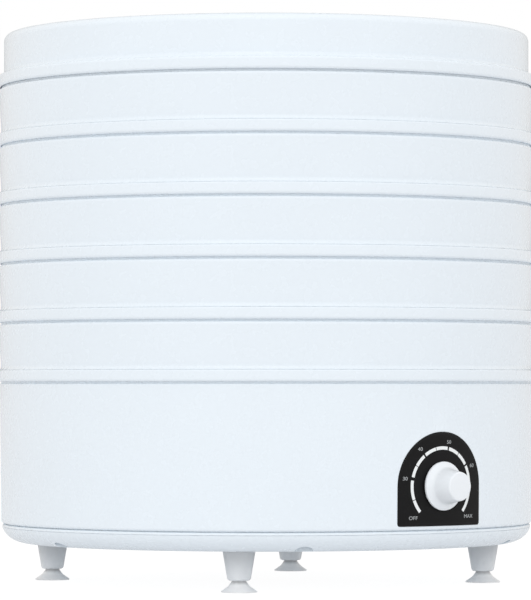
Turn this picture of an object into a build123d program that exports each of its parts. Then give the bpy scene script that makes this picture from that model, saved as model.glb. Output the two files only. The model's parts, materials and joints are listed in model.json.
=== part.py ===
from build123d import *
from math import cos, radians, sin
import os

# Round food dehydrator: a powered base on suction feet, a stack of trays and a lid.
# Millimetres, +Z up, front towards -Y, origin on the floor at the centre of the feet.
# Azimuths are degrees from the front, positive towards +X.

# Stack of sections. A joint is the lower edge of a section's skirt.
TRAY_COUNT = 5
TRAY_PITCH = 42.5
FIRST_JOINT_Z = 144.5
LID_JOINT_Z = FIRST_JOINT_Z + TRAY_COUNT * TRAY_PITCH
LID_HEIGHT = 38.5

# Nesting fit between two sections, heights measured from the joint.
SKIRT_R = 195.0
SKIRT_INNER_R = 192.2
SKIRT_HEIGHT = 8.0
SPIGOT_R = 191.8
SPIGOT_TOP = 6.4
STEP_HEIGHT = 6.6
GROOVE = 1.2
RIM_INNER_R = 189.6
SKIRT_EDGE_R = 1.5
SKIRT_TOP_EDGE_R = 1.1

# Trays and their drop-in lattice floors.
TRAY_WALL_LOW_R = 192.2
TRAY_WALL_TOP_R = 194.0
LEDGE_INNER_R = 184.0
LEDGE_TOP = 8.8
GRID_R = 189.2
GRID_THICKNESS = 2.6
RIB = 2.0
GRID_RINGS = (57.0, 82.5, 108.0, 133.5, 159.0)
GRID_SPLIT_R = 82.5
GRID_SPOKES = 20
GRID_HUB_R = 36.0
GRID_HUB_BORE = 31.0

# Lid.
LID_WALL_R = 190.3
LID_WALL = 2.4
LID_DISH_R = 164.0
LID_DISH_DEPTH = 3.5
LID_BOSS_R = 22.0
VENT_WIDTH = 2.8
OUTER_VENTS = (36, 98.0, 150.0)
INNER_VENTS = (18, 42.0, 82.0)
INTAKE_SLOTS = (24, 24.0, 60.0)

# Base housing and bottom pan.
WALL = 2.6
HOUSING_LOW_Z = 42.6
HOUSING_LOW_R = 191.9
HOUSING_TOP_R = 193.0
DECK_TOP_Z = 138.6
DECK_UNDER_Z = DECK_TOP_Z - WALL
OUTLET_R = 74.0
PAN_UNDER_Z = 28.5
PAN_TOP_Z = 42.1
PAN_R = 191.2
PAN_FLAT_R = 173.0
PAN_FLOOR_Z = 30.9
PAN_LIP_R = 189.0
PAN_LIP_INNER_R = 187.0
PAN_LIP_TOP_Z = 48.0
SEAM_EDGE_R = 1.2

# Case screws, each in a well that cuts the pan's lower curve.
WELL_AZIMUTHS = [8.2 + 60 * i for i in range(6)]
WELL_RADIUS = 179.3
WELL_R = 6.5
WELL_ROOF_Z = 38.0
WELL_BOSS_TOP_Z = 40.5
WELL_BOSS_WALL = 2.0
PILLAR_R = 5.0
PILLAR_GAP = 0.2
CASE_SCREW_R = 1.75
CASE_SCREW_TOP_Z = 58.0

# Legs and suction cups.
LEG_AZIMUTHS = [-6.8 + 90 * i for i in range(4)]
LEG_RADIUS = 157.2
LEG_TOP_R = 11.4
LEG_LOW_R = 7.9
LEG_LOW_Z = 8.0
CUP_R = 12.4
CUP_NECK_R = 5.2
CUP_STEM_R = 3.2
LEG_SCREW_R = 1.8
LEG_WALL = 1.6
LEG_POST_R = 4.4
LEG_HOLLOW_Z = 11.0
LEG_SCREW_HOLE_Z = 15.5
LEG_SOCKET_Z = 14.0
CUP_STEM_TOP_Z = 13.6
CUP_HOLLOW_Z = 4.6
CUP_LIP = 1.2

# Thermostat dial, on the housing wall.
DIAL_AZIMUTH = 39.0
DIAL_Z = 72.7
PLATE_HALF_WIDTH = 37.2
PLATE_DROP = 27.4
PLATE_RECESS = 0.5
PLATE_PROUD = 0.4
KNOB_FLANGE_R = 16.8
KNOB_GRIP_R = 12.6
KNOB_FACE_R = 9.8
KNOB_FACE = 19.0
KNOB_UNDER = 0.9
SHAFT_R = 3.0
BUSH_R = 5.0
SEAT_R = 9.5
THERMOSTAT_HALF = 17.0
THERMOSTAT_FRONT = -3.6
THERMOSTAT_BACK = -25.6
RUNNING_GAP = 0.05

# Blower and heater on the base's axis.
MOTOR_SHAFT_R = 2.5
BRACKET_Z = 46.0
BRACKET_RISE = 4.4
SHEET = 1.6
POST_X = 70.0
POST_R = 5.0
STRAP = 3.0
STATOR_X = 31.0
STATOR_THICKNESS = 20.0
STATOR_Z = BRACKET_Z + BRACKET_RISE + SHEET + STRAP
ROTOR_BORE_R = 13.0
MOTOR_SCREW_X = 26.0
FAN_R = 67.0
FAN_Z = 88.0
FAN_HEIGHT = 18.0
FAN_BLADES = 7
FAN_HUB_R = 20.0
FAN_HUB_WALL = 2.5
FAN_BOSS_R = 5.5
BLADE_PITCH = 32.0
BRACKET_X = 58.0
BRACKET_HALF = 12.0
SHIELD_R = 73.5
SHIELD_THICKNESS = 1.2
SHIELD_LOW_Z = 84.0
HEATER_R = 52.0
HEATER_Z = 120.0
HEATER_TUBE_R = 3.2
GRILLE_R = 88.0
GRILLE_THICKNESS = 2.4
GRILLE_SCREW_RADIUS = 81.0
GRILLE_SCREW_AZIMUTHS = (45, 135, 225, 315)
GRILLE_HUB_R = 10.0
GRILLE_RING_RADII = [14.0 + 5.0 * i for i in range(12)]
GRILLE_RIB = 2.2
GRILLE_SPLIT_R = 39.0

# Cord bush in the rear wall.
BUSH_Z = 60.0
CORD_BORE_R = 3.75
WALL_HOLE_R = 6.0


def lathe(*corners):
    """Solid of revolution about Z. Each corner is radius, height and an optional edge rounding."""
    points = [(c[0], c[1]) for c in corners]
    rounding = [c[2] if len(c) > 2 else 0 for c in corners]
    outline = FilletPolyline(*points, radius=rounding, close=True)
    return revolve(Plane.XZ * make_face(outline), Axis.Z)


def tube(outer_r, inner_r, low_z, high_z):
    """Upright ring of rectangular section."""
    ring = Circle(outer_r) - Circle(inner_r)
    return extrude(Pos(0, 0, low_z) * ring, high_z - low_z)


def rod(radius, low_z, high_z):
    """Upright cylinder."""
    return extrude(Pos(0, 0, low_z) * Circle(radius), high_z - low_z)


def block(x0, x1, y0, y1, z0, z1):
    """Box given by its limits."""
    middle = Pos((x0 + x1) / 2, (y0 + y1) / 2, (z0 + z1) / 2)
    return middle * Box(x1 - x0, y1 - y0, z1 - z0)


def around(azimuth, radius):
    """Upright place at an azimuth and radius, its own X axis pointing outwards."""
    return Rot(0, 0, azimuth - 90) * Pos(radius, 0, 0)


def joint_z(tray):
    """Height of a tray's lower edge. Tray 1 is the top one."""
    return FIRST_JOINT_Z + (TRAY_COUNT - tray) * TRAY_PITCH


def housing_r(z):
    """Outer radius of the drafted housing wall at a height."""
    top_z = FIRST_JOINT_Z - GROOVE
    share = (z - HOUSING_LOW_Z) / (top_z - HOUSING_LOW_Z)
    return HOUSING_LOW_R + share * (HOUSING_TOP_R - HOUSING_LOW_R)


def dial_plane():
    """Plane on the housing wall at the dial, normal pointing out and Y up."""
    a = radians(DIAL_AZIMUTH)
    r = housing_r(DIAL_Z)
    origin = (r * sin(a), -r * cos(a), DIAL_Z)
    return Plane(origin, x_dir=(cos(a), sin(a), 0), z_dir=(sin(a), -cos(a), 0))


def tray_ring():
    """Tray wall with its skirt, flare, floor ledge and upper spigot, joint at height 0."""
    return lathe(
        (SKIRT_R, 0, SKIRT_EDGE_R),
        (SKIRT_R, SKIRT_HEIGHT, SKIRT_TOP_EDGE_R),
        (TRAY_WALL_LOW_R, SKIRT_HEIGHT + 1.2, 3.0),
        (TRAY_WALL_TOP_R, TRAY_PITCH - GROOVE, SKIRT_EDGE_R),
        (SPIGOT_R, TRAY_PITCH - GROOVE),
        (SPIGOT_R, TRAY_PITCH + SPIGOT_TOP, 0.6),
        (RIM_INNER_R, TRAY_PITCH + SPIGOT_TOP, 0.6),
        (RIM_INNER_R, LEDGE_TOP),
        (LEDGE_INNER_R, LEDGE_TOP, 0.5),
        (LEDGE_INNER_R, STEP_HEIGHT, 0.5),
        (SKIRT_INNER_R, STEP_HEIGHT),
        (SKIRT_INNER_R, 0, 0.4),
    )


def spokes(count, inner_r, outer_r):
    """Radial ribs between two radii."""
    rib = Pos((inner_r + outer_r) / 2, 0) * Rectangle(outer_r - inner_r, RIB)
    return [Rot(0, 0, i * 360 / count) * rib for i in range(count)]


def tray_grid():
    """Lattice floor that drops onto a tray's ledge, open at its hub, joint at height 0."""
    lattice = Circle(GRID_R) - Circle(LEDGE_INNER_R + 0.5)
    lattice += Circle(GRID_HUB_R) - Circle(GRID_HUB_BORE)
    rings = [Circle(r + RIB / 2) - Circle(r - RIB / 2) for r in GRID_RINGS]
    inner_spokes = spokes(GRID_SPOKES, GRID_HUB_R - 2, GRID_SPLIT_R)
    outer_spokes = spokes(2 * GRID_SPOKES, GRID_SPLIT_R, LEDGE_INNER_R + 2)
    lattice += rings + inner_spokes + outer_spokes
    return extrude(Pos(0, 0, LEDGE_TOP) * lattice, GRID_THICKNESS)


def slot_ring(count, inner_r, outer_r, low_z, high_z):
    """Cutters for a ring of radial slots."""
    slot = Pos((inner_r + outer_r) / 2, 0) * SlotOverall(outer_r - inner_r, VENT_WIDTH)
    cutter = extrude(Pos(0, 0, low_z) * slot, high_z - low_z)
    return [Rot(0, 0, i * 360 / count) * cutter for i in range(count)]


def lid():
    """Cover with a skirt, a dished and vented top and a low centre boss."""
    top = LID_HEIGHT
    dish = LID_HEIGHT - LID_DISH_DEPTH
    inner_r = LID_WALL_R - LID_WALL
    shell = lathe(
        (SKIRT_R, 0, SKIRT_EDGE_R),
        (SKIRT_R, SKIRT_HEIGHT, SKIRT_TOP_EDGE_R),
        (LID_WALL_R, SKIRT_HEIGHT + 1.6, 3.0),
        (LID_WALL_R, top, 5.0),
        (LID_DISH_R + 4, top, 2.0),
        (LID_DISH_R, dish, 2.0),
        (LID_BOSS_R + 4, dish, 2.0),
        (LID_BOSS_R, top, 2.0),
        (0, top),
        (0, top - LID_WALL),
        (LID_BOSS_R - 1, top - LID_WALL, 1.0),
        (LID_BOSS_R + 3, dish - LID_WALL, 1.0),
        (LID_DISH_R + 1, dish - LID_WALL, 1.0),
        (LID_DISH_R + 5, top - LID_WALL, 1.0),
        (inner_r, top - LID_WALL, 3.0),
        (inner_r, STEP_HEIGHT),
        (SKIRT_INNER_R, STEP_HEIGHT),
        (SKIRT_INNER_R, 0, 0.4),
    )
    low_z = dish - LID_WALL - 1
    vents = slot_ring(*OUTER_VENTS, low_z, top) + slot_ring(*INNER_VENTS, low_z, top)
    return Pos(0, 0, LID_JOINT_Z) * (shell - vents)


def housing_shell():
    """Housing wall, top deck with the air outlet, and the spigot for the lowest tray."""
    shoulder_z = FIRST_JOINT_Z - GROOVE
    rim_z = FIRST_JOINT_Z + SPIGOT_TOP
    return lathe(
        (HOUSING_LOW_R, HOUSING_LOW_Z, SEAM_EDGE_R),
        (HOUSING_TOP_R, shoulder_z, SKIRT_TOP_EDGE_R),
        (SPIGOT_R, shoulder_z),
        (SPIGOT_R, rim_z, 0.6),
        (RIM_INNER_R, rim_z, 0.6),
        (RIM_INNER_R, DECK_TOP_Z, 1.5),
        (OUTLET_R, DECK_TOP_Z),
        (OUTLET_R, DECK_UNDER_Z),
        (housing_r(DECK_UNDER_Z) - WALL, DECK_UNDER_Z, 2.0),
        (HOUSING_LOW_R - WALL, HOUSING_LOW_Z),
    )


def arch(margin):
    """Dial plate outline: a half-round top on straight sides, grown by a margin."""
    half = PLATE_HALF_WIDTH + margin
    drop = PLATE_DROP + margin
    outline = Circle(half) + Pos(0, -drop / 2) * Rectangle(2 * half, drop)
    return fillet(outline.vertices().group_by(Axis.Y)[0], 2.0)


def wall_skin(inner, outer, margin):
    """Piece of a skin that follows the housing wall, inside the dial arch."""
    low_z = DIAL_Z - PLATE_DROP - 5
    high_z = DIAL_Z + PLATE_HALF_WIDTH + 5
    skin = lathe(
        (housing_r(low_z) + inner, low_z),
        (housing_r(low_z) + outer, low_z),
        (housing_r(high_z) + outer, high_z),
        (housing_r(high_z) + inner, high_z),
    )
    prism = extrude(dial_plane().offset(-10) * arch(margin), 16)
    return skin & prism


def base_housing():
    """Housing with screw pillars, the dial recess, the thermostat seat and the cord hole."""
    housing = housing_shell()
    boss_foot = WELL_BOSS_TOP_Z + PILLAR_GAP
    pillar = rod(PILLAR_R, boss_foot, DECK_UNDER_Z + 1)
    hole = rod(CASE_SCREW_R + 0.1, boss_foot, CASE_SCREW_TOP_Z + 2)
    housing += [around(a, WELL_RADIUS) * pillar for a in WELL_AZIMUTHS]
    housing -= [around(a, WELL_RADIUS) * hole for a in WELL_AZIMUTHS]
    dial = dial_plane().location
    housing += dial * rod(SEAT_R, THERMOSTAT_FRONT, -1.5)
    housing -= wall_skin(-PLATE_RECESS, 4.0, 0.2)
    housing -= dial * rod(BUSH_R + 0.3, -6, 2)
    housing -= dial * rod(SEAT_R - 0.3, -0.6, 2)
    screw_hole = rod(2.0, DECK_UNDER_Z - 1, DECK_TOP_Z + 1)
    housing -= [around(a, GRILLE_SCREW_RADIUS) * screw_hole for a in GRILLE_SCREW_AZIMUTHS]
    rear = Plane((0, 150, BUSH_Z), x_dir=(-1, 0, 0), z_dir=(0, 1, 0)).location
    return housing - rear * rod(WALL_HOLE_R, 0, 60)


def pan_solid(x_radius, floor_z):
    """Full pan shape up to its rim: a flat floor and a quarter-ellipse edge."""
    y_radius = PAN_TOP_Z - floor_z
    arc = EllipticalCenterArc((PAN_FLAT_R, PAN_TOP_Z), x_radius, y_radius, -90, arc_size=90)
    sides = Polyline(arc @ 1, (0, PAN_TOP_Z), (0, floor_z), arc @ 0)
    return revolve(Plane.XZ * make_face([arc.edge()] + sides.edges()), Axis.Z)


def bottom_pan():
    """Pan with a rim lip, screw wells, motor posts and air intake slots."""
    envelope = pan_solid(PAN_R - PAN_FLAT_R, PAN_UNDER_Z)
    hollow = pan_solid(PAN_LIP_INNER_R - PAN_FLAT_R, PAN_FLOOR_Z)
    pan = envelope - hollow
    pan += tube(PAN_LIP_R, PAN_LIP_INNER_R, PAN_TOP_Z - 1, PAN_LIP_TOP_Z)
    boss = rod(WELL_R + WELL_BOSS_WALL, PAN_UNDER_Z, WELL_BOSS_TOP_Z)
    bosses = [around(a, WELL_RADIUS) * boss for a in WELL_AZIMUTHS]
    pan += [b & envelope for b in bosses]
    well = rod(WELL_R, PAN_UNDER_Z - 1, WELL_ROOF_Z)
    well += rod(CASE_SCREW_R + 0.25, WELL_ROOF_Z, WELL_BOSS_TOP_Z + 1)
    pan -= [around(a, WELL_RADIUS) * well for a in WELL_AZIMUTHS]
    leg_hole = rod(LEG_SCREW_R + 0.2, PAN_UNDER_Z - 1, PAN_FLOOR_Z + 1)
    pan -= [around(a, LEG_RADIUS) * leg_hole for a in LEG_AZIMUTHS]
    post = rod(POST_R, PAN_FLOOR_Z - 1, BRACKET_Z) - rod(1.6, PAN_FLOOR_Z + 2, BRACKET_Z)
    pan += [Pos(x, 0, 0) * post for x in (-POST_X, POST_X)]
    return pan - slot_ring(*INTAKE_SLOTS, PAN_UNDER_Z - 1, PAN_FLOOR_Z + 1)


def leg():
    """Hollow tapered leg with a screw post above and a socket below."""
    return lathe(
        (0, LEG_SCREW_HOLE_Z),
        (LEG_SCREW_R + 0.1, LEG_SCREW_HOLE_Z),
        (LEG_SCREW_R + 0.1, PAN_UNDER_Z),
        (LEG_POST_R, PAN_UNDER_Z),
        (LEG_POST_R, LEG_HOLLOW_Z, 0.8),
        (LEG_LOW_R - 1.2, LEG_HOLLOW_Z, 1.2),
        (LEG_TOP_R - LEG_WALL, PAN_UNDER_Z),
        (LEG_TOP_R, PAN_UNDER_Z),
        (LEG_LOW_R, LEG_LOW_Z, 2.2),
        (CUP_STEM_R + 0.1, LEG_LOW_Z),
        (CUP_STEM_R + 0.1, LEG_SOCKET_Z),
        (0, LEG_SOCKET_Z),
    )


def suction_cup():
    """Conical cup, hollow below, with a stem that pushes into the leg."""
    return lathe(
        (0, CUP_HOLLOW_Z),
        (1.4, CUP_HOLLOW_Z, 0.6),
        (CUP_R - CUP_LIP, 0),
        (CUP_R, 0),
        (CUP_R, 0.7, 0.3),
        (CUP_NECK_R, LEG_LOW_Z - 0.8, 0.8),
        (CUP_NECK_R - 0.4, LEG_LOW_Z - 0.1),
        (CUP_STEM_R, LEG_LOW_Z - 0.1),
        (CUP_STEM_R, CUP_STEM_TOP_Z, 0.4),
        (0, CUP_STEM_TOP_Z),
    )


def screw(head_r, head_height, shank_r, length):
    """Pan-head screw, head above height 0 and shank below, with a cross recess."""
    body = lathe(
        (0, head_height),
        (head_r, head_height, head_height * 0.4),
        (head_r, 0),
        (shank_r, 0),
        (shank_r, -length, shank_r * 0.4),
        (0, -length),
    )
    recess = Box(head_r * 1.1, 0.7, head_height) + Box(0.7, head_r * 1.1, head_height)
    return body - Pos(0, 0, head_height) * recess


def dial_plate():
    """Thin curved plate that fills the arch recess, open round the thermostat bush."""
    plate = wall_skin(-PLATE_RECESS + 0.05, PLATE_PROUD, 0)
    return plate - dial_plane().location * rod(SEAT_R - 0.2, -6, 4)


def knob():
    """Flanged knob, hollow below for the nut, with a flatted bore for the shaft."""
    bore_top = 12.5
    body = lathe(
        (0, KNOB_FACE + 0.2),
        (0, 4.2),
        (8.6, 4.2),
        (8.6, 2.0),
        (14.4, 2.0),
        (14.4, KNOB_UNDER),
        (KNOB_FLANGE_R, KNOB_UNDER, 0.4),
        (KNOB_FLANGE_R, 2.6, 0.8),
        (KNOB_GRIP_R, 5.0, 3.5),
        (KNOB_FACE_R, KNOB_FACE, 1.2),
    )
    bore = rod(SHAFT_R + RUNNING_GAP, 4, bore_top)
    bore -= block(2.35, 5, -5, 5, 0, bore_top + 1)
    return dial_plane().location * (body - bore)


def thermostat_shaft():
    """Round shaft with a flat where the knob sits."""
    shaft = rod(SHAFT_R, -22, 12.2) - block(2.3, 5, -5, 5, 3.8, 13)
    return dial_plane().location * shaft


def thermostat_body():
    """Rotary thermostat with a threaded bush and two terminal blades."""
    half = THERMOSTAT_HALF
    body = block(-half, half, -half, half, THERMOSTAT_BACK, THERMOSTAT_FRONT)
    body = fillet(body.edges().filter_by(Axis.Z), 2.0)
    body += rod(BUSH_R, -4, 3.4)
    body += [block(x - 3.15, x + 3.15, -0.4, 0.4, -34, -25) for x in (-8, 8)]
    return dial_plane().location * (body - rod(SHAFT_R + RUNNING_GAP, -23, 4))


def thermostat_nut():
    """Hexagon nut that clamps the thermostat to the wall."""
    nut = extrude(Pos(0, 0, -0.6) * RegularPolygon(7.0, 6, major_radius=False), 2.5)
    return dial_plane().location * (nut - rod(BUSH_R + RUNNING_GAP, -1, 3))


def cord_bush():
    """Flanged bush in the rear wall with a bore for the mains cord."""
    wall_r = housing_r(BUSH_Z)
    inner_r = wall_r - WALL
    bush = lathe(
        (CORD_BORE_R, inner_r - 6.5),
        (WALL_HOLE_R - 0.8, inner_r - 6.5),
        (WALL_HOLE_R + 0.9, inner_r - 2.6, 0.5),
        (WALL_HOLE_R - 0.2, inner_r - 0.6),
        (WALL_HOLE_R - 0.2, wall_r + 0.1),
        (WALL_HOLE_R + 2.4, wall_r + 0.1, 0.5),
        (WALL_HOLE_R + 1.2, wall_r + 2.2, 0.8),
        (CORD_BORE_R, wall_r + 2.2),
    )
    return Plane((0, 0, BUSH_Z), x_dir=(-1, 0, 0), z_dir=(0, 1, 0)).location * bush


def air_grille():
    """Round slotted grille over the air outlet."""
    grille = Circle(GRILLE_R) - Circle(OUTLET_R - 1)
    half = GRILLE_RIB / 2
    rings = [Circle(r + half) - Circle(r - half) for r in GRILLE_RING_RADII]
    grille += rings + spokes(12, 0, GRILLE_SPLIT_R) + spokes(24, GRILLE_SPLIT_R, OUTLET_R)
    grille += Circle(GRILLE_HUB_R)
    grille -= [around(a, GRILLE_SCREW_RADIUS) * Circle(2.0) for a in GRILLE_SCREW_AZIMUTHS]
    return extrude(Pos(0, 0, DECK_TOP_Z) * grille, GRILLE_THICKNESS)


def heater_path():
    """Centre line of the ring element: a 300 degree arc with both ends turned outwards."""
    bend = 10.0
    centre = (0, 0, HEATER_Z)
    ring = CenterArc(centre, HEATER_R, 120, 300)
    ends = []
    for angle, side in ((60, 1), (120, -1)):
        a = radians(angle)
        out = Vector(cos(a), sin(a), 0)
        along = Vector(-sin(a), cos(a), 0) * side
        start = Vector(0, 0, HEATER_Z) + out * HEATER_R
        middle = start + out * bend
        turn = middle + along * bend
        knee = middle + (along - out) * (bend * cos(radians(45)))
        ends += [ThreePointArc(start, knee, turn), Line(turn, turn + out * 30)]
    return ring, ends


def heater_element():
    """Sheathed ring element."""
    ring, ends = heater_path()
    path = Wire([ring.edge()] + [e.edge() for e in ends])
    start = path @ 0
    section = Plane(start, z_dir=path % 0) * Circle(HEATER_TUBE_R)
    return sweep(section, path)


def heat_shield():
    """Sheet-metal duct round the fan and heater, hung from the deck by its flange."""
    top_z = DECK_UNDER_Z
    shield = tube(SHIELD_R, SHIELD_R - SHIELD_THICKNESS, SHIELD_LOW_Z, top_z)
    flange = tube(GRILLE_R, SHIELD_R - 0.5, top_z - SHIELD_THICKNESS, top_z)
    hole = rod(2.0, top_z - 3, top_z + 1)
    flange -= [around(a, GRILLE_SCREW_RADIUS) * hole for a in GRILLE_SCREW_AZIMUTHS]
    shield += flange
    ends = heater_path()[1]
    exits = [Plane(e @ 0, z_dir=e % 0).location * rod(HEATER_TUBE_R + 0.8, 0, 30) for e in ends[1::2]]
    return shield - exits


def heater_clips():
    """Three strips under the element, reaching to the shield."""
    inner = HEATER_R - 5
    outer = SHIELD_R - SHIELD_THICKNESS - 0.1
    top_z = HEATER_Z - HEATER_TUBE_R
    strip = block(inner, outer, -4, 4, top_z - 0.8, top_z)
    tab = block(outer - 0.8, outer - 0.2, -4, 4, top_z - 0.8, top_z + 8)
    return [Rot(0, 0, a) * (strip + tab) for a in (-90, 20, 160)]


def fan_impeller():
    """Axial impeller with pitched blades on a round hub."""
    mid_z = FAN_Z + FAN_HEIGHT / 2
    blade = Rot(BLADE_PITCH, 0, 0) * Box(FAN_R, 34, 2)
    blade = Pos(FAN_R / 2, 0, mid_z) * blade
    swept = tube(FAN_R, 10, FAN_Z, FAN_Z + FAN_HEIGHT)
    fan = rod(FAN_HUB_R, FAN_Z, FAN_Z + FAN_HEIGHT)
    fan += [Rot(0, 0, i * 360 / FAN_BLADES) * (blade & swept) for i in range(FAN_BLADES)]
    fan -= rod(FAN_HUB_R - FAN_HUB_WALL, FAN_Z - 1, FAN_Z + FAN_HEIGHT - FAN_HUB_WALL)
    fan += rod(FAN_BOSS_R, FAN_Z, FAN_Z + FAN_HEIGHT - 2)
    return fan - rod(MOTOR_SHAFT_R + 0.03, FAN_Z - 1, FAN_Z + FAN_HEIGHT + 1)


def fan_retainer():
    """Push-on ring that holds the impeller on its shaft."""
    return tube(5.0, MOTOR_SHAFT_R + 0.03, FAN_Z + FAN_HEIGHT, FAN_Z + FAN_HEIGHT + 1.0)


def motor_stator():
    """Laminated stack with the rotor bore and the coil window."""
    top = STATOR_Z + STATOR_THICKNESS
    stack = block(-STATOR_X, STATOR_X, -26, 54, STATOR_Z, top)
    stack -= block(-19, 19, 17, 42, STATOR_Z - 1, top + 1)
    stack -= rod(ROTOR_BORE_R, STATOR_Z - 1, top + 1)
    hole = rod(2.2, STATOR_Z - 1, top + 1)
    return stack - [Pos(x, 0, 0) * hole for x in (-MOTOR_SCREW_X, MOTOR_SCREW_X)]


def motor_coil():
    """Wound bobbin round the stator's back limb."""
    mid_z = STATOR_Z + STATOR_THICKNESS / 2
    half = STATOR_THICKNESS / 2 + 0.3
    coil = block(-15, 15, 29, 67, mid_z - 19, mid_z + 19)
    coil = fillet(coil.edges().filter_by(Axis.X), 5.0)
    flange = block(-17.5, 17.5, 27.5, 68.5, mid_z - 20.5, mid_z + 20.5)
    flange -= block(-15, 15, 20, 80, mid_z - 30, mid_z + 30)
    coil += flange
    return coil - block(-20, 20, 41.7, 54.3, mid_z - half, mid_z + half)


def motor_strap(low_z, hub_low, hub_high):
    """Bearing strap across the stator with a hub that carries the shaft."""
    strap = block(-STATOR_X, STATOR_X, -8, 8, low_z, low_z + STRAP)
    strap += rod(7.0, hub_low, hub_high)
    strap -= rod(MOTOR_SHAFT_R + RUNNING_GAP, hub_low - 1, hub_high + 1)
    hole = rod(2.2, low_z - 1, low_z + STRAP + 1)
    return strap - [Pos(x, 0, 0) * hole for x in (-MOTOR_SCREW_X, MOTOR_SCREW_X)]


def motor_bracket():
    """Sheet strap that stands on the pan's posts and carries the motor."""
    top_z = BRACKET_Z + BRACKET_RISE
    half = BRACKET_HALF
    inner_x = BRACKET_X - SHEET
    bracket = block(-BRACKET_X, BRACKET_X, -half, half, top_z, top_z + SHEET)
    for side in (-1, 1):
        x0, x1 = sorted((side * BRACKET_X, side * inner_x))
        bracket += block(x0, x1, -half, half, BRACKET_Z, top_z + SHEET)
        x0, x1 = sorted((side * inner_x, side * (POST_X + 8)))
        bracket += block(x0, x1, -half, half, BRACKET_Z, BRACKET_Z + SHEET)
    holes = [Pos(x, 0, 0) * rod(2.2, 40, 60) for x in (-POST_X, -MOTOR_SCREW_X, MOTOR_SCREW_X, POST_X)]
    return bracket - holes - rod(8.0, 40, 60)


def terminal_block():
    """Three-way terminal block on the pan's floor."""
    body = block(-18, 18, -8, 8, PAN_FLOOR_Z, PAN_FLOOR_Z + 12)
    ways = [Pos(x, 0, 0) * rod(2.6, PAN_FLOOR_Z + 6, PAN_FLOOR_Z + 13) for x in (-11, 0, 11)]
    entries = [block(x - 1.8, x + 1.8, -9, 9, PAN_FLOOR_Z + 3, PAN_FLOOR_Z + 5.5) for x in (-11, 0, 11)]
    return Pos(-60, 110, 0) * (body - ways - entries)


def thermal_fuse():
    """Cylindrical thermal cut-out against the outside of the shield."""
    fuse = lathe((0, 95), (2.0, 95, 0.5), (2.0, 109, 0.5), (0, 109))
    fuse += rod(0.5, 88, 116)
    return around(250, SHIELD_R + 2.2) * fuse


def main():
    """Write one STEP file for each sub-part."""
    os.makedirs("parts", exist_ok=True)
    ring = tray_ring()
    grid = tray_grid()
    nodes = {"lid": lid()}
    for tray in range(1, TRAY_COUNT + 1):
        nodes[f"tray_{tray}_ring"] = Pos(0, 0, joint_z(tray)) * ring
        nodes[f"tray_{tray}_grid"] = Pos(0, 0, joint_z(tray)) * grid
    nodes["base_housing"] = base_housing()
    nodes["bottom_pan"] = bottom_pan()
    for number, azimuth in enumerate(LEG_AZIMUTHS, 1):
        nodes[f"leg_{number}"] = around(azimuth, LEG_RADIUS) * leg()
        nodes[f"suction_cup_{number}"] = around(azimuth, LEG_RADIUS) * suction_cup()
    nodes["dial_plate"] = dial_plate()
    nodes["knob"] = knob()
    nodes["thermostat_shaft"] = thermostat_shaft()
    nodes["thermostat_body"] = thermostat_body()
    nodes["thermostat_nut"] = thermostat_nut()
    nodes["cord_bush"] = cord_bush()
    nodes["air_grille"] = air_grille()
    nodes["heat_shield"] = heat_shield()
    nodes["heater_element"] = heater_element()
    nodes["heater_clips"] = Compound(children=heater_clips())
    nodes["thermal_fuse"] = thermal_fuse()
    nodes["fan_impeller"] = fan_impeller()
    nodes["fan_retainer"] = fan_retainer()
    nodes["motor_shaft"] = rod(MOTOR_SHAFT_R, BRACKET_Z + 0.5, FAN_Z + FAN_HEIGHT + 3)
    nodes["motor_rotor"] = tube(ROTOR_BORE_R - 0.4, MOTOR_SHAFT_R + 0.02, STATOR_Z + 1, STATOR_Z + 19)
    nodes["motor_stator"] = motor_stator()
    nodes["motor_coil"] = motor_coil()
    low_strap_z = STATOR_Z - STRAP
    nodes["motor_lower_bearing"] = motor_strap(low_strap_z, low_strap_z - 4.2, STATOR_Z)
    top_strap_z = STATOR_Z + STATOR_THICKNESS
    nodes["motor_upper_bearing"] = motor_strap(top_strap_z, top_strap_z, top_strap_z + 8)
    nodes["motor_bracket"] = motor_bracket()
    nodes["terminal_block"] = terminal_block()
    nodes.update(fasteners())
    for name, shape in nodes.items():
        export_step(shape, f"parts/{name}.step")


def fasteners():
    """Groups of identical screws and nuts, one node for each kind."""
    case = Rot(180, 0, 0) * screw(3.6, 2.4, CASE_SCREW_R, CASE_SCREW_TOP_Z - WELL_ROOF_Z)
    leg_screw = screw(3.8, 2.4, LEG_SCREW_R, PAN_FLOOR_Z - 16.5)
    mount = screw(3.4, 2.2, 1.5, 11)
    strap_top = STATOR_Z + STATOR_THICKNESS + STRAP
    motor = screw(3.6, 2.4, 2.0, strap_top - BRACKET_Z - 2)
    grille = screw(3.6, 2.2, 1.8, GRILLE_THICKNESS + WALL + SHIELD_THICKNESS + 5)
    nut = extrude(RegularPolygon(3.4, 6, major_radius=False), -2.8) - rod(1.85, -4, 1)
    groups = {
        "case_screws": [around(a, WELL_RADIUS) * Pos(0, 0, WELL_ROOF_Z) * case for a in WELL_AZIMUTHS],
        "leg_screws": [around(a, LEG_RADIUS) * Pos(0, 0, PAN_FLOOR_Z) * leg_screw for a in LEG_AZIMUTHS],
        "bracket_screws": [Pos(x, 0, BRACKET_Z + SHEET) * mount for x in (-POST_X, POST_X)],
        "motor_screws": [Pos(x, 0, strap_top) * motor for x in (-MOTOR_SCREW_X, MOTOR_SCREW_X)],
        "grille_screws": [
            around(a, GRILLE_SCREW_RADIUS) * Pos(0, 0, DECK_TOP_Z + GRILLE_THICKNESS) * grille
            for a in GRILLE_SCREW_AZIMUTHS
        ],
        "grille_nuts": [
            around(a, GRILLE_SCREW_RADIUS) * Pos(0, 0, DECK_UNDER_Z - SHIELD_THICKNESS) * nut
            for a in GRILLE_SCREW_AZIMUTHS
        ],
    }
    return {name: Compound(children=solids) for name, solids in groups.items()}


main()
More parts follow.
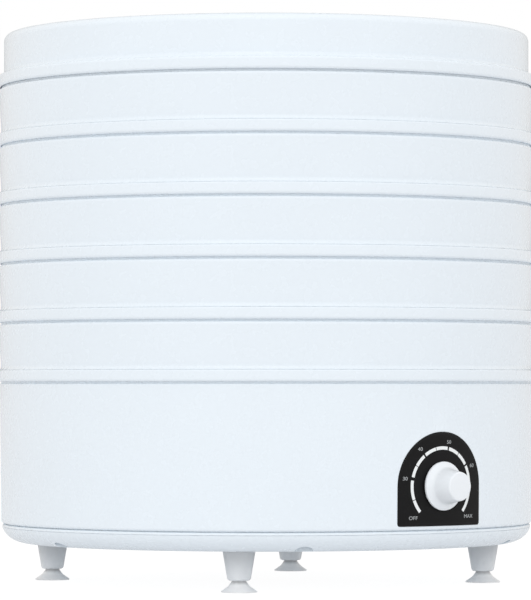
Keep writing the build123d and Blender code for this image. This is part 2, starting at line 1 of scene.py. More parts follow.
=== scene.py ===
import json
import math

import bmesh
import bpy
from mathutils import Matrix, Vector

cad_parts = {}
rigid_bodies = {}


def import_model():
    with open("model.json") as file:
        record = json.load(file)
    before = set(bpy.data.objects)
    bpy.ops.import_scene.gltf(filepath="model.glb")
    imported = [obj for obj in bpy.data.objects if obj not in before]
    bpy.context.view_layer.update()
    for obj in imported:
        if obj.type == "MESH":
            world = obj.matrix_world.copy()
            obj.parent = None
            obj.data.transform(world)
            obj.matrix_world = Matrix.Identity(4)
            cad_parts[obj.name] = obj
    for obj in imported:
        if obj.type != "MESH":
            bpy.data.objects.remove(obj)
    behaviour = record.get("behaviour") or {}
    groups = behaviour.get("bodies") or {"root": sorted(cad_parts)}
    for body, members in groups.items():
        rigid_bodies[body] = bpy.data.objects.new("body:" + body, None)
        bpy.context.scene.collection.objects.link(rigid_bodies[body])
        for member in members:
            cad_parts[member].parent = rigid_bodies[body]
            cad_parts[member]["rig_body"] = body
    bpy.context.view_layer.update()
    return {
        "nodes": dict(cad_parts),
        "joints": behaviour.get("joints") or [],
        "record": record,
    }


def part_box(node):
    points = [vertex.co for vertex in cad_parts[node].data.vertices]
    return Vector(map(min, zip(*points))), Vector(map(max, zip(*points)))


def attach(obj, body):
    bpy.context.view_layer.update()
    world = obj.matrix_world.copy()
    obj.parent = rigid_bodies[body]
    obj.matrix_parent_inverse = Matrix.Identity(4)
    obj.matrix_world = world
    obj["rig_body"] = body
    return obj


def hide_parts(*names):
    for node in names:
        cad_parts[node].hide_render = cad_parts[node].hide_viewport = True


# Food dehydrator: five lift-off trays and a vented lid on a blower base with a dial.
# Metres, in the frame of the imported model. Profiles are written in millimetres.

MM = 0.001
RING_SEGMENTS = 288
SMALL_SEGMENTS = 96
ARC_STEP = math.radians(13)
LONGEST_FACE = 12.0
SUPPORT = 0.5
SHARP_ANGLE = math.radians(34)
TRAYS = range(1, 6)
FEET = range(1, 5)

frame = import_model()
joints = {j["name"]: j for j in frame["joints"]}


# ---------------------------------------------------------------- outlines and meshes


def rounded(corners):
    """Closed outline with arcs at the corners that give a rounding: (r, z) or (r, z, rounding)."""
    points = []
    count = len(corners)
    for i, corner in enumerate(corners):
        here = Vector(corner[:2])
        rounding = corner[2] if len(corner) > 2 else 0
        to_last = (Vector(corners[i - 1][:2]) - here).normalized()
        to_next = (Vector(corners[(i + 1) % count][:2]) - here).normalized()
        opening = to_last.angle(to_next)
        if not rounding or opening > math.pi - 0.02:
            points.append(here)
            continue
        reach = rounding / math.tan(opening / 2)
        middle = here + (to_last + to_next).normalized() * rounding / math.sin(opening / 2)
        start = here + to_last * reach - middle
        sweep = math.atan2(*reversed(here + to_next * reach - middle)) - math.atan2(*reversed(start))
        sweep = (sweep + math.pi) % (2 * math.pi) - math.pi
        steps = max(2, math.ceil(abs(sweep) / ARC_STEP))
        points.append(middle + start + to_last * min(SUPPORT, reach))
        for k in range(steps + 1):
            points.append(middle + Matrix.Rotation(sweep * k / steps, 2) @ start)
        points.append(middle + Matrix.Rotation(sweep, 2) @ start + to_next * min(SUPPORT, reach))
    return divided(points)


def divided(points):
    """The outline with its long straight stretches divided evenly, and no point twice."""
    result = []
    for i, here in enumerate(points):
        after = points[(i + 1) % len(points)]
        length = (after - here).length
        if length < 1e-4:
            continue
        on_axis = here.x < 1e-6 and after.x < 1e-6
        steps = 1 if on_axis else math.ceil(length / LONGEST_FACE)
        result += [here.lerp(after, k / steps) for k in range(steps)]
    return result


def add_object(name, data):
    """Links a new object that holds a mesh, curve, light or camera."""
    obj = bpy.data.objects.new(name, data)
    bpy.context.scene.collection.objects.link(obj)
    return obj


def finished_mesh(made, name):
    """Mesh of a finished bmesh, which is freed."""
    mesh = bpy.data.meshes.new(name)
    made.to_mesh(mesh)
    made.free()
    return mesh


def applied(obj):
    """Applies an object's modifiers to its mesh."""
    bpy.context.view_layer.update()
    graph = bpy.context.evaluated_depsgraph_get()
    mesh = bpy.data.meshes.new_from_object(obj.evaluated_get(graph))
    obj.modifiers.clear()
    obj.data = mesh


def shade(mesh, angle=SHARP_ANGLE):
    """Smooth faces with hard edges where the surface turns sharply."""
    mesh.polygons.foreach_set("use_smooth", [True] * len(mesh.polygons))
    mesh.set_sharp_from_angle(angle=angle)
    mesh.update()


def lathe_mesh(name, corners, low=0.0, segments=RING_SEGMENTS):
    """Mesh of an outline turned about Z, with height 0 of the outline at low metres."""
    outline = rounded(corners)
    made = bmesh.new()
    rings = []
    for point in outline:
        z = low + point.y * MM
        if point.x < 1e-6:
            rings.append([made.verts.new((0, 0, z))] * segments)
            continue
        ring = []
        for k in range(segments):
            a = 2 * math.pi * k / segments
            ring.append(made.verts.new((point.x * MM * math.cos(a), point.x * MM * math.sin(a), z)))
        rings.append(ring)
    for i, ring in enumerate(rings):
        other = rings[(i + 1) % len(rings)]
        if ring[0] is ring[1] and other[0] is other[1]:
            continue
        for k in range(segments):
            n = (k + 1) % segments
            corner_verts = []
            for vert in (ring[k], other[k], other[n], ring[n]):
                if vert not in corner_verts:
                    corner_verts.append(vert)
            made.faces.new(corner_verts)
    bmesh.ops.recalc_face_normals(made, faces=made.faces)
    mesh = finished_mesh(made, name)
    shade(mesh)
    return mesh


def lathe(name, corners, low=0.0, segments=RING_SEGMENTS):
    """Object of an outline turned about Z."""
    return add_object(name, lathe_mesh(name, corners, low, segments))


def rod(name, radius, low, high, segments=64):
    """Plain round cutter, in millimetres from low to high."""
    return lathe(name, [(0, low), (radius, low), (radius, high), (0, high)], 0.0, segments)


def place(obj, matrix):
    """Moves an object's vertices by a matrix, so that its origin stays at the frame's."""
    obj.data.transform(matrix)
    return obj


def joined(name, objects):
    """One object of the meshes of several."""
    made = bmesh.new()
    for obj in objects:
        made.from_mesh(obj.data)
        bpy.data.objects.remove(obj)
    return add_object(name, finished_mesh(made, name))


def boolean(obj, other, operation="DIFFERENCE"):
    """Applies a boolean to an object's mesh and removes the other object."""
    modifier = obj.modifiers.new("boolean", "BOOLEAN")
    modifier.object = other
    modifier.operation = operation
    modifier.solver = "EXACT"
    applied(obj)
    bpy.data.objects.remove(other)
    shade(obj.data)
    return obj


def turned(azimuth, radius=0.0):
    """Matrix of a place at an azimuth from the front, positive towards +X, its X axis outwards."""
    turn = Matrix.Rotation(math.radians(azimuth - 90), 4, "Z")
    return turn @ Matrix.Translation((radius * MM, 0, 0))


def slot_cutter(inner, outer, width, low, high):
    """Round-ended radial slot along X, in millimetres."""
    half = width / 2
    outline = []
    for centre, start in ((outer - half, -90), (inner + half, 90)):
        for k in range(9):
            a = math.radians(start + k * 22.5)
            outline.append((centre + half * math.cos(a), half * math.sin(a)))
    made = bmesh.new()
    under = [made.verts.new((x * MM, y * MM, low * MM)) for x, y in outline]
    over = [made.verts.new((x * MM, y * MM, high * MM)) for x, y in outline]
    made.faces.new(list(reversed(under)))
    made.faces.new(over)
    for i in range(len(under)):
        n = (i + 1) % len(under)
        made.faces.new((under[i], under[n], over[n], over[i]))
    bmesh.ops.recalc_face_normals(made, faces=made.faces)
    return add_object("slot", finished_mesh(made, "slot"))


def slot_ring(count, inner, outer, width, low, high):
    """Ring of radial slot cutters."""
    cutters = []
    for i in range(count):
        cutter = slot_cutter(inner, outer, width, low, high)
        cutters.append(place(cutter, Matrix.Rotation(2 * math.pi * i / count, 4, "Z")))
    return cutters


def finish_piece(obj, body, slot, material, *nodes):
    """Gives a piece its body and material, and hides the CAD nodes that it stands for. The slot is not
    used.
    """
    obj.data.materials.clear()
    obj.data.materials.append(material)
    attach(obj, body)
    if nodes:
        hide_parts(*nodes)
    return obj


def body_of(node):
    """The CAD body that a node belongs to."""
    return frame["nodes"][node]["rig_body"]


# ---------------------------------------------------------------- materials


def new_material(name):
    """Empty node material and its Principled shader."""
    material = bpy.data.materials.new(name)
    material.use_nodes = True
    return material, material.node_tree.nodes["Principled BSDF"]


def node(material, kind, **values):
    """Adds a shader node and sets its properties."""
    made = material.node_tree.nodes.new(kind)
    for key, value in values.items():
        setattr(made, key, value)
    return made


def link(material, source, target):
    """Joins two sockets."""
    material.node_tree.links.new(source, target)


def noise(material, scale, detail=3.0, stretch=(1, 1, 1)):
    """Noise in the object's own coordinates, in features of about 1/scale metres."""
    place_node = node(material, "ShaderNodeTexCoord")
    mapping = node(material, "ShaderNodeMapping")
    mapping.inputs["Scale"].default_value = stretch
    texture = node(material, "ShaderNodeTexNoise")
    texture.inputs["Scale"].default_value = scale
    texture.inputs["Detail"].default_value = detail
    link(material, place_node.outputs["Object"], mapping.inputs["Vector"])
    link(material, mapping.outputs["Vector"], texture.inputs["Vector"])
    return texture.outputs["Fac"]


def remap(material, value, low, high, to_low, to_high):
    """Maps a value from one range to another, held to the second."""
    ranged = node(material, "ShaderNodeMapRange")
    ranged.inputs["From Min"].default_value = low
    ranged.inputs["From Max"].default_value = high
    ranged.inputs["To Min"].default_value = to_low
    ranged.inputs["To Max"].default_value = to_high
    link(material, value, ranged.inputs["Value"])
    return ranged.outputs["Result"]


def mixed(material, factor, first, second):
    """Colour mix; each side is a colour or a socket."""
    mix = node(material, "ShaderNodeMix", data_type="RGBA")
    link(material, factor, mix.inputs["Factor"])
    for socket, value in ((mix.inputs["A"], first), (mix.inputs["B"], second)):
        if isinstance(value, tuple):
            socket.default_value = (*value, 1.0)
        else:
            link(material, value, socket)
    return mix.outputs["Result"]


def added(material, first, second):
    """Sum of two values."""
    total = node(material, "ShaderNodeMath", operation="ADD")
    link(material, first, total.inputs[0])
    link(material, second, total.inputs[1])
    return total.outputs["Value"]


def edges(material):
    """How strongly a point lies on a convex edge, from 0 to 1."""
    geometry = node(material, "ShaderNodeNewGeometry")
    return remap(material, geometry.outputs["Pointiness"], 0.505, 0.57, 0.0, 1.0)


def bumped(material, shader, layers):
    """Bump from layers of (height socket, strength, distance in metres)."""
    last = None
    for height, strength, distance in layers:
        bump = node(material, "ShaderNodeBump")
        bump.inputs["Strength"].default_value = strength
        bump.inputs["Distance"].default_value = distance
        link(material, height, bump.inputs["Height"])
        if last is not None:
            link(material, last, bump.inputs["Normal"])
        last = bump.outputs["Normal"]
    link(material, last, shader.inputs["Normal"])


def moulded(name, colour, roughness, texture=0.25, worn=1.04, specular=0.5):
    """Moulded plastic: fine skin texture, slow sink waviness, faint colour drift and rubbed edges."""
    material, shader = new_material(name)
    drifted = tuple(c * 0.99 for c in colour)
    worn_colour = tuple(min(1.0, c * worn) for c in colour)
    drift = remap(material, noise(material, 18.0, 2.0), 0.35, 0.65, 0.0, 1.0)
    body = mixed(material, drift, colour, drifted)
    link(material, mixed(material, edges(material), body, worn_colour), shader.inputs["Base Color"])
    mottle = remap(material, noise(material, 120.0, 2.0), 0.3, 0.7, roughness - 0.02, roughness + 0.03)
    rubbed = remap(material, edges(material), 0.0, 1.0, 0.0, 0.08)
    link(material, added(material, mottle, rubbed), shader.inputs["Roughness"])
    skin = noise(material, 260.0, 0.0)
    waves = noise(material, 16.0, 0.0)
    bumped(material, shader, [(waves, 0.08, 0.0006), (skin, texture, 0.00002)])
    shader.inputs["Specular IOR Level"].default_value = specular
    return material


def milky(name, colour, roughness, transmission, subsurface, painted_shade):
    """Milky translucent plastic or silicone with faint flow marks.

    Each entry of the last argument is (low z, high z, factor): painted shade, where the colour darkens
    to that factor between two heights in metres."""
    material, shader = new_material(name)
    clouds = remap(material, noise(material, 160.0, 3.0, (1, 1, 0.4)), 0.3, 0.7, 0.0, 1.0)
    darker = tuple(c * 0.93 for c in colour)
    body = mixed(material, clouds, colour, darker)
    coordinates = node(material, "ShaderNodeTexCoord")
    split = node(material, "ShaderNodeSeparateXYZ")
    link(material, coordinates.outputs["Object"], split.inputs["Vector"])
    # Painted shade: the colour darkens between the given heights.
    for low, high, factor in painted_shade:
        depth = remap(material, split.outputs["Z"], low, high, 0.0, 1.0)
        body = mixed(material, depth, body, tuple(c * factor for c in colour))
    light = tuple(min(1.0, c * 1.08) for c in colour)
    link(material, mixed(material, edges(material), body, light), shader.inputs["Base Color"])
    mottle = remap(material, noise(material, 420.0, 3.0), 0.3, 0.7, roughness - 0.05, roughness + 0.07)
    link(material, mottle, shader.inputs["Roughness"])
    shader.inputs["Transmission Weight"].default_value = transmission
    shader.inputs["Subsurface Weight"].default_value = subsurface
    shader.inputs["Subsurface Radius"].default_value = (1.0, 1.0, 1.0)
    shader.inputs["Subsurface Scale"].default_value = 0.003
    shader.inputs["IOR"].default_value = 1.43
    bumped(material, shader, [(noise(material, 380.0, 2.0), 0.15, 0.00006)])
    return material


def metal(name, colour, roughness, brush=(1, 1, 1), scale=300.0, depth=0.2, stain=0.85):
    """Metal with drawn or tumbled scratches, stains and bright edges."""
    material, shader = new_material(name)
    shader.inputs["Metallic"].default_value = 1.0
    stained = tuple(c * stain for c in colour)
    bright = tuple(min(1.0, c * 1.25) for c in colour)
    blotch = remap(material, noise(material, 60.0, 4.0), 0.4, 0.7, 0.0, 1.0)
    body = mixed(material, blotch, colour, stained)
    link(material, mixed(material, edges(material), body, bright), shader.inputs["Base Color"])
    grain = noise(material, scale, 5.0, brush)
    rough = remap(material, grain, 0.3, 0.7, roughness - 0.08, roughness + 0.12)
    link(material, rough, shader.inputs["Roughness"])
    bumped(material, shader, [(grain, depth, 0.00006)])
    return material


def winding(name, colour):
    """Enamelled copper wire wound in close turns, with painted shade between the turns."""
    material, shader = new_material(name)
    coordinates = node(material, "ShaderNodeTexCoord")
    wave = node(material, "ShaderNodeTexWave", bands_direction="X")
    wave.inputs["Scale"].default_value = 320.0
    wave.inputs["Distortion"].default_value = 0.6
    link(material, coordinates.outputs["Object"], wave.inputs["Vector"])
    # Painted shade: the colour darkens in the bands between the turns.
    dark = tuple(c * 0.35 for c in colour)
    link(material, mixed(material, wave.outputs["Fac"], dark, colour), shader.inputs["Base Color"])
    shader.inputs["Metallic"].default_value = 0.7
    link(material, remap(material, noise(material, 300.0), 0.3, 0.7, 0.25, 0.4), shader.inputs["Roughness"])
    bumped(material, shader, [(wave.outputs["Fac"], 0.8, 0.0003)])
    return material


def laminated(name, colour):
    """Stack of thin steel sheets."""
    material, shader = new_material(name)
    coordinates = node(material, "ShaderNodeTexCoord")
    wave = node(material, "ShaderNodeTexWave", bands_direction="Z")
    wave.inputs["Scale"].default_value = 300.0
    link(material, coordinates.outputs["Object"], wave.inputs["Vector"])
    dark = tuple(c * 0.5 for c in colour)
    rust = (0.16, 0.09, 0.06)
    sheets = mixed(material, wave.outputs["Fac"], dark, colour)
    spots = remap(material, noise(material, 140.0, 5.0), 0.62, 0.75, 0.0, 0.7)
    link(material, mixed(material, spots, sheets, rust), shader.inputs["Base Color"])
    shader.inputs["Metallic"].default_value = 0.85
    link(material, remap(material, noise(material, 250.0), 0.3, 0.7, 0.4, 0.6), shader.inputs["Roughness"])
    bumped(material, shader, [(wave.outputs["Fac"], 0.6, 0.0002)])
    return material


# Painted shade on the feet. The legs darken towards their tops, standing in for the dark screw seen through
# the milk and for shade under the pan. The cups darken at the neck under the leg.
LEG_PAINTED_SHADE = ((0.012, 0.024, 0.72),)
CUP_PAINTED_SHADE = ((0.0050, 0.0072, 0.62),)
materials = {
    "white_plastic": moulded("white_plastic", (0.80, 0.87, 0.93), 0.26, texture=0.06),
    "grid_plastic": moulded("grid_plastic", (0.80, 0.86, 0.91), 0.42, texture=0.3),
    "clear_plastic": milky("clear_plastic", (0.86, 0.89, 0.92), 0.34, 0.08, 0.3, LEG_PAINTED_SHADE),
    "silicone": milky("silicone", (0.97, 0.98, 0.99), 0.42, 0.05, 0.4, CUP_PAINTED_SHADE),
    "black_plastic": moulded("black_plastic", (0.008, 0.008, 0.0085), 0.5, 0.3, worn=2.2, specular=0.12),
    "knob_plastic": moulded("knob_plastic", (0.84, 0.88, 0.92), 0.32, texture=0.15),
    "bright_steel": metal("bright_steel", (0.62, 0.62, 0.62), 0.28, (1, 1, 6)),
    "phenolic": moulded("phenolic", (0.075, 0.040, 0.028), 0.5, texture=0.5, worn=1.8),
    "bush_rubber": moulded("bush_rubber", (0.62, 0.65, 0.68), 0.6, texture=0.6),
    "sheet_steel": metal("sheet_steel", (0.55, 0.56, 0.57), 0.38, (1, 1, 0.2), 120.0, 0.25),
    "heater_sheath": metal("heater_sheath", (0.24, 0.21, 0.19), 0.45, (1, 1, 1), 220.0, 0.3, 0.6),
    "fan_plastic": moulded("fan_plastic", (0.03, 0.03, 0.032), 0.45, texture=0.4, worn=2.0),
    "rotor_aluminium": metal("rotor_aluminium", (0.70, 0.70, 0.71), 0.35, (1, 1, 8)),
    "lamination_steel": laminated("lamination_steel", (0.30, 0.31, 0.34)),
    "copper_winding": winding("copper_winding", (0.52, 0.20, 0.08)),
    "terminal_plastic": moulded("terminal_plastic", (0.74, 0.72, 0.63), 0.42, texture=0.3),
    "screw_steel": metal("screw_steel", (0.60, 0.60, 0.58), 0.26, (1, 1, 1), 500.0, 0.15),
    "print": moulded("print_white", (0.82, 0.85, 0.86), 0.5, texture=0.3),
    "label": moulded("label_white", (0.40, 0.42, 0.43), 0.55, texture=0.3),
}
slot_of = {s["node"]: s["material_slot"] for s in frame["record"]["subparts"]}
for name, obj in frame["nodes"].items():
    obj.data.materials.clear()
    obj.data.materials.append(materials[slot_of[name]])


# ---------------------------------------------------------------- trays

PITCH = 42.5
GROOVE = 1.2
SKIRT_R = 195
SKIRT_BORE_R = 192.2
SKIRT_HEIGHT = 8
SKIRT_TOP_EDGE = 1.1
JOINT_EDGE = 2.0
SPIGOT_R = 191.8
SPIGOT_BORE_R = 189.6
SPIGOT_TOP = 6.4
SPIGOT_EDGE = 0.6
LEDGE_R = 184
LEDGE_LOW = 6.6
LEDGE_TOP = 8.8
SPOKES = 40
RIB = 2.0
GRID_THICKNESS = 2.6
GRID_R = 189.2
GRID_BORE_R = 184.5
HUB_INNER_R = 31
HUB_R = 36
HOOP_RADII = (57.0, 82.5, 108.0, 133.5, 159.0)
INNER_HOOP_RADII = HOOP_RADII[:2]


def tray_ring_corners():
    """Tray wall: skirt, inward step, flared wall, upper spigot and floor ledge."""
    return [
        (SKIRT_R, 0, JOINT_EDGE),
        (SKIRT_R, SKIRT_HEIGHT, SKIRT_TOP_EDGE),
        (192.2, SKIRT_HEIGHT + 1.2, 3.0),
        (194, PITCH - GROOVE, JOINT_EDGE),
        (SPIGOT_R, PITCH - GROOVE),
        (SPIGOT_R, PITCH + SPIGOT_TOP, SPIGOT_EDGE),
        (SPIGOT_BORE_R, PITCH + SPIGOT_TOP, SPIGOT_EDGE),
        (SPIGOT_BORE_R, LEDGE_TOP),
        (LEDGE_R, LEDGE_TOP, 0.5),
        (LEDGE_R, LEDGE_LOW, 0.5),
        (SKIRT_BORE_R, LEDGE_LOW),
        (SKIRT_BORE_R, 0, 0.4),
    ]


def lattice_mesh(name, bands, sectors, rib, thickness):
    """Round lattice plate on height 0. A band is (inner r, outer r, step): step 0 is a solid ring,
    and otherwise every step-th sector has a spoke."""
    gaps = 4
    radii = [bands[0][0]] + [band[1] for band in bands]
    made = bmesh.new()
    levels = []
    for z in (0.0, thickness * MM):
        rows = []
        for r in radii:
            half = math.asin(rib / 2 / r)
            pitch = 2 * math.pi / sectors
            row = []
            for s in range(sectors):
                row.append(s * pitch - half)
                row += [s * pitch + half + (pitch - 2 * half) * g / gaps for g in range(gaps)]
            rows.append([made.verts.new((r * MM * math.cos(a), r * MM * math.sin(a), z)) for a in row])
        levels.append(rows)
    under, over = levels
    count = sectors * (gaps + 1)

    def is_solid(band, cell):
        if not 0 <= band < len(bands):
            return False
        step = bands[band][2]
        sector, part = divmod(cell % count, gaps + 1)
        return step == 0 or (part == 0 and sector % step == 0)

    for band in range(len(bands)):
        for cell in range(count):
            if not is_solid(band, cell):
                continue
            n = (cell + 1) % count
            top = [over[band][cell], over[band + 1][cell], over[band + 1][n], over[band][n]]
            bottom = [under[band][cell], under[band + 1][cell], under[band + 1][n], under[band][n]]
            made.faces.new(top)
            made.faces.new(list(reversed(bottom)))
            sides = (
                (band, cell - 1, 0, 1),
                (band, cell + 1, 2, 3),
                (band - 1, cell, 3, 0),
                (band + 1, cell, 1, 2),
            )
            for near_band, near_cell, i, j in sides:
                if not is_solid(near_band, near_cell):
                    made.faces.new((top[i], top[j], bottom[j], bottom[i]))
    loose = [v for v in made.verts if not v.link_faces]
    bmesh.ops.delete(made, geom=loose, context="VERTS")
    bmesh.ops.recalc_face_normals(made, faces=made.faces)
    return finished_mesh(made, name)


def bevelled(obj, width):
    """Applies a small bevel to an object's hard edges."""
    modifier = obj.modifiers.new("bevel", "BEVEL")
    modifier.width = width * MM
    modifier.segments = 1
    modifier.limit_method = "ANGLE"
    modifier.angle_limit = math.radians(40)
    applied(obj)
    shade(obj.data)
    return obj


def tray_bands():
    """Bands of a tray floor from its hub to its rim."""
    half = RIB / 2
    bands = [(HUB_INNER_R, HUB_R, 0)]
    inner = HUB_R
    for r in HOOP_RADII:
        bands.append((inner, r - half, 2 if r in INNER_HOOP_RADII else 1))
        bands.append((r - half, r + half, 0))
        inner = r + half
    return bands + [(inner, GRID_BORE_R, 1), (GRID_BORE_R, GRID_R, 0)]


def make_trays():
    """The five tray walls and their drop-in lattice floors."""
    ring_mesh = lathe_mesh("tray_ring", tray_ring_corners())
    lattice = lattice_mesh("tray_grid", tray_bands(), SPOKES, RIB, GRID_THICKNESS)
    grid = add_object("tray_grid", lattice)
    grid_mesh = bevelled(grid, 0.3).data
    bpy.data.objects.remove(grid)
    for tray in TRAYS:
        ring_node, grid_node = f"tray_{tray}_ring", f"tray_{tray}_grid"
        ring = add_object(f"tray_wall_{tray}", ring_mesh)
        ring.location.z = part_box(ring_node)[0].z
        finish_piece(ring, body_of(ring_node), "white_plastic", materials["white_plastic"], ring_node)
        floor_piece = add_object(f"tray_floor_{tray}", grid_mesh)
        floor_piece.location.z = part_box(grid_node)[0].z
        finish_piece(floor_piece, body_of(grid_node), "grid_plastic", materials["grid_plastic"], grid_node)


# ---------------------------------------------------------------- lid

VENT_WIDTH = 2.8
LID_WALL_R = 190.3
LID_INNER_R = 187.9
LID_TOP = 38.5
LID_ROOF = 36.1
DISH_TOP = 35
DISH_ROOF = 32.6


def make_lid():
    """Vented lid with a skirt, a dished top and a centre boss."""
    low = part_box("lid")[0].z
    corners = [
        (SKIRT_R, 0, JOINT_EDGE),
        (SKIRT_R, SKIRT_HEIGHT, SKIRT_TOP_EDGE),
        (LID_WALL_R, SKIRT_HEIGHT + 1.6, 3.0),
        (LID_WALL_R, LID_TOP, 5.0),
        (168, LID_TOP, 2.0),
        (164, DISH_TOP, 2.0),
        (26, DISH_TOP, 2.0),
        (22, LID_TOP, 2.0),
        (0, LID_TOP),
        (0, LID_ROOF),
        (21, LID_ROOF, 1.0),
        (25, DISH_ROOF, 1.0),
        (165, DISH_ROOF, 1.0),
        (169, LID_ROOF, 1.0),
        (LID_INNER_R, LID_ROOF, 3.0),
        (LID_INNER_R, LEDGE_LOW),
        (SKIRT_BORE_R, LEDGE_LOW),
        (SKIRT_BORE_R, 0, 0.4),
    ]
    cover = lathe("lid_shell", corners, low)
    vents_low, vents_high = low / MM + 31, low / MM + 39
    cutters = slot_ring(36, 98, 150, VENT_WIDTH, vents_low, vents_high)
    cutters += slot_ring(18, 42, 82, VENT_WIDTH, vents_low, vents_high)
    boolean(cover, joined("vents", cutters))
    finish_piece(cover, body_of("lid"), "white_plastic", materials["white_plastic"], "lid")


# ---------------------------------------------------------------- base

HOUSING_LOW = (191.9, 42.6)
HOUSING_TOP = (193.0, 143.3)
HOUSING_WALL = 2.6
DECK_LOW = 136.0
DECK_TOP = 138.6
OUTLET_R = 74.0
BASE_SPIGOT_TOP = 150.9
PILLAR_R = 5
PILLAR_BORE_R = 1.85
PILLAR_LOW = 40.7
GRILLE_SCREW_RADIUS = 81.0
THERMOSTAT_SEAT_R = 9.2
THERMOSTAT_HOLE_R = 5.3
CORD_HOLE_R = 6.0
WELL_AZIMUTHS = [8.2 + 60 * i for i in range(6)]
WELL_RADIUS = 179.3
WELL_R = 6.5
WELL_TOP = 9.5
BOSS_TOP = 12.0
BOSS_WALL = 1.8
CASE_SCREW_HOLE_R = 2.0
PAN_CURVE_R = 173.0
PAN_CURVE_HEIGHT = 13.6
PAN_FLOOR = 2.4
MOTOR_POST_X = 70.0
MOTOR_POST_TOP = 46
DIAL_AZIMUTH = math.degrees(math.atan2(-joints["knob_turn"]["axis"][0], joints["knob_turn"]["axis"][1]))
DIAL_Z = joints["knob_turn"]["pos_m"][2] / MM
PLATE_HALF = 37.2
PLATE_DROP = 27.4
PLATE_CORNER = 2.0


def housing_r(z):
    """Outer radius of the housing at a height, in millimetres."""
    share = (z - HOUSING_LOW[1]) / (HOUSING_TOP[1] - HOUSING_LOW[1])
    return HOUSING_LOW[0] + share * (HOUSING_TOP[0] - HOUSING_LOW[0])


def on_wall(x, y, proud):
    """Point of the housing wall at the dial: x to the right, y up and proud outwards, millimetres."""
    z = DIAL_Z + y
    r = housing_r(z) + proud
    out = math.sqrt(r * r - x * x)
    a = math.radians(DIAL_AZIMUTH)
    return Vector((out * math.sin(a) + x * math.cos(a), -out * math.cos(a) + x * math.sin(a), z)) * MM


def arch_rows(margin, columns=56, rows=24):
    """Grid of (x, y) points that fills the dial arch grown by a margin: rows of columns."""
    half = PLATE_HALF + margin
    drop = PLATE_DROP + margin
    corner = PLATE_CORNER + margin
    result = []
    for i in range(columns + 1):
        x = -half * math.cos(math.pi * i / columns)
        top = math.sqrt(max(0.0, half * half - x * x))
        past = abs(x) - (half - corner)
        low = -drop + (corner - math.sqrt(max(0.0, corner * corner - past * past)) if past > 0 else 0)
        result.append([(x, low + (top - low) * j / rows) for j in range(rows + 1)])
    return result


def border(grid):
    """Outline of a grid of points, once round."""
    last = len(grid) - 1
    left = [grid[0][j] for j in range(len(grid[0]))]
    top = [grid[i][-1] for i in range(1, last)]
    right = [grid[last][j] for j in reversed(range(len(grid[0])))]
    bottom = [grid[i][0] for i in range(last - 1, 0, -1)]
    return left + top + right + bottom


def arch_solid(name, margin, back, front, bevel=0.0):
    """Curved plate in the arch's outline that follows the wall between two offsets."""
    made = bmesh.new()

    def sheet(grow, proud):
        return [[made.verts.new(on_wall(x, y, proud)) for x, y in row] for row in arch_rows(margin + grow)]

    def fill(grid, flip):
        for i in range(len(grid) - 1):
            for j in range(len(grid[0]) - 1):
                face = [grid[i][j], grid[i + 1][j], grid[i + 1][j + 1], grid[i][j + 1]]
                made.faces.new(list(reversed(face)) if flip else face)

    def skirt(first, second):
        for k in range(len(first)):
            n = (k + 1) % len(first)
            made.faces.new((first[k], first[n], second[n], second[k]))

    back_sheet = sheet(0.0, back)
    front_sheet = sheet(-bevel, front)
    fill(back_sheet, True)
    fill(front_sheet, False)
    rim = border(back_sheet)
    if bevel:
        for grow, proud in ((0.0, front - bevel), (-0.3 * bevel, front - 0.3 * bevel)):
            ring = [made.verts.new(on_wall(x, y, proud)) for x, y in border(arch_rows(margin + grow))]
            skirt(rim, ring)
            rim = ring
    skirt(rim, border(front_sheet))
    bmesh.ops.remove_doubles(made, verts=made.verts, dist=1e-7)
    bmesh.ops.recalc_face_normals(made, faces=made.faces)
    mesh = finished_mesh(made, name)
    shade(mesh)
    return add_object(name, mesh)


def dial_matrix():
    """Matrix of the dial on the wall: local Z outwards and Y up."""
    a = math.radians(DIAL_AZIMUTH)
    out = Vector((math.sin(a), -math.cos(a), 0))
    right = Vector((math.cos(a), math.sin(a), 0))
    up = Vector((0, 0, 1))
    turn = Matrix((right, up, out)).transposed().to_4x4()
    return Matrix.Translation(out * housing_r(DIAL_Z) * MM + up * DIAL_Z * MM) @ turn


